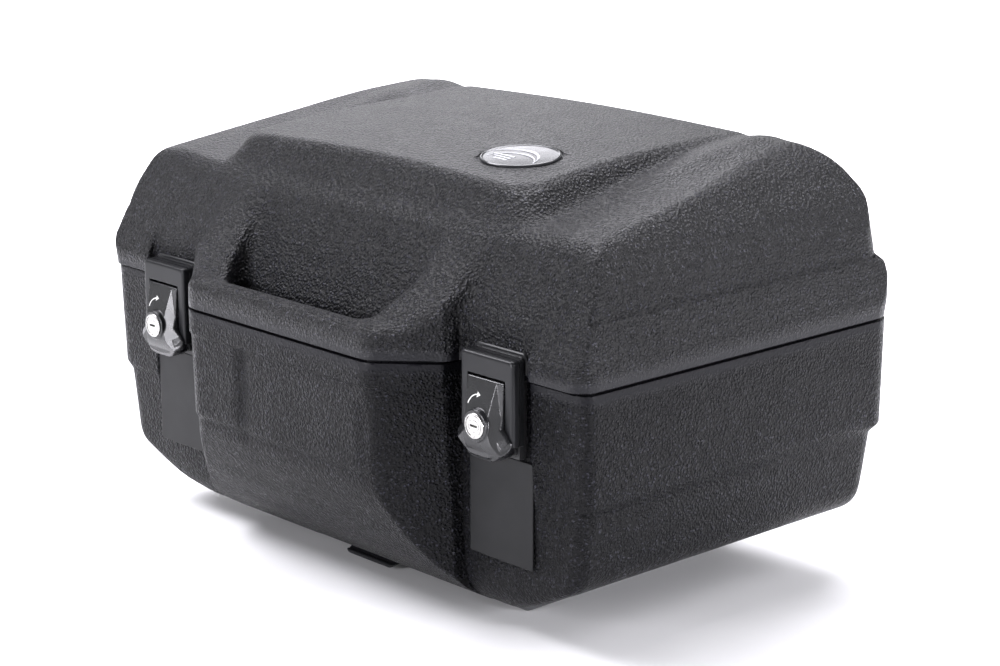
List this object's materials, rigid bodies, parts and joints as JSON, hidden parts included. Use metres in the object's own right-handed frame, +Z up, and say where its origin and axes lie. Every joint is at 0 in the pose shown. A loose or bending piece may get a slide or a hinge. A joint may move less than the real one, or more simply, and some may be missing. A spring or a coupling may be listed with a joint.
{
  "type": "motorcycle top case",
  "caption": "Rigid moulded luggage case for a motorcycle rack, with hinged domed lid, carrying handle, locking draw latches and a release lever under the front.",
  "frame": {"origin": "centre of the closed case's outer box, on the plane the skids rest on", "axes": "+X to the right seen from the front (latch side), +Y to the rear (hinge side), +Z up"},
  "size_m": [0.589, 0.417, 0.3535],
  "materials": {
    "case_plastic": "fine pebble grain, charcoal black",
    "smooth_plastic": "satin black",
    "dock_plastic": "matte black",
    "skid_plastic": "smooth dark grey",
    "seal_rubber": "matte",
    "steel": "zinc plated",
    "bolt_steel": "plated",
    "hinge_black": "black powder coat",
    "lock_nickel": "satin nickel",
    "badge_silver": "satin silver grey"
  },
  "bodies": {
    "base": {"base_shell": "case_plastic", "rim_seal": "seal_rubber", "left_channel_plate": "smooth_plastic", "right_channel_plate": "smooth_plastic", "left_latch_bracket": "smooth_plastic", "right_latch_bracket": "smooth_plastic", "left_lever_pin": "steel", "right_lever_pin": "steel", "left_hinge_base_leaf": "hinge_black", "right_hinge_base_leaf": "hinge_black", "left_hinge_pin": "steel", "right_hinge_pin": "steel", "dock_plate": "dock_plastic", "left_skid": "skid_plastic", "right_skid": "skid_plastic", "mechanism_cover": "dock_plastic", "release_pin": "steel", "release_spring": "steel", "hinge_base_screws": "steel", "latch_bracket_screws": "steel", "dock_plate_screws": "steel", "cover_screws": "steel", "skid_screws": "steel"},
    "lid": {"lid_shell": "case_plastic", "badge": "badge_silver", "left_catch": "smooth_plastic", "right_catch": "smooth_plastic", "left_hinge_lid_leaf": "hinge_black", "right_hinge_lid_leaf": "hinge_black", "hinge_lid_screws": "steel", "catch_screws": "steel"},
    "left_latch": {"left_lever": "smooth_plastic", "left_hasp_pins": "steel"},
    "left_hasp": {"left_hasp": "smooth_plastic"},
    "left_lock": {"left_lock_cylinder": "lock_nickel", "left_lock_cam": "steel"},
    "right_latch": {"right_lever": "smooth_plastic", "right_hasp_pins": "steel"},
    "right_hasp": {"right_hasp": "smooth_plastic"},
    "right_lock": {"right_lock_cylinder": "lock_nickel", "right_lock_cam": "steel"},
    "release": {"release_lever": "smooth_plastic"},
    "bolt": {"locking_bolt": "bolt_steel"}
  },
  "joints": [
    {"name": "lid_hinge", "type": "hinge", "parent": "base", "child": "lid", "pos_m": [0, 0.2035, 0.216], "axis": [-1, 0, 0], "range_deg": [0, 85]},
    {"name": "left_lever_swing", "type": "hinge", "parent": "base", "child": "left_latch", "pos_m": [-0.2022, -0.1615, 0.2055], "axis": [-1, 0, 0], "range_deg": [0, 95]},
    {"name": "left_hasp_tilt", "type": "hinge", "parent": "left_latch", "child": "left_hasp", "pos_m": [-0.2022, -0.1615, 0.1895], "axis": [-1, 0, 0], "range_deg": [-100, 0]},
    {"name": "left_lock_turn", "type": "hinge", "parent": "left_latch", "child": "left_lock", "pos_m": [-0.2022, -0.1709, 0.176], "axis": [0, 1, 0], "range_deg": [0, 90]},
    {"name": "right_lever_swing", "type": "hinge", "parent": "base", "child": "right_latch", "pos_m": [0.2022, -0.1615, 0.2055], "axis": [-1, 0, 0], "range_deg": [0, 95]},
    {"name": "right_hasp_tilt", "type": "hinge", "parent": "right_latch", "child": "right_hasp", "pos_m": [0.2022, -0.1615, 0.1895], "axis": [-1, 0, 0], "range_deg": [-100, 0]},
    {"name": "right_lock_turn", "type": "hinge", "parent": "right_latch", "child": "right_lock", "pos_m": [0.2022, -0.1709, 0.176], "axis": [0, 1, 0], "range_deg": [0, 90]},
    {"name": "release_pull", "type": "hinge", "parent": "base", "child": "release", "pos_m": [0, -0.092, 0.028], "axis": [-1, 0, 0], "range_deg": [0, 22]},
    {"name": "bolt_slide", "type": "slide", "parent": "base", "child": "bolt", "axis": [0, 1, 0], "range_m": [0, 0.005], "stiffness_N_per_m": 400, "springref_m": -0.005}
  ],
  "couplings": [
    {"joint": "left_hasp_tilt", "follows": "left_lever_swing", "ratio": -1.05},
    {"joint": "right_hasp_tilt", "follows": "right_lever_swing", "ratio": -1.05},
    {"joint": "release_pull", "follows": "bolt_slide", "rad_per_m": 76.5}
  ]
}
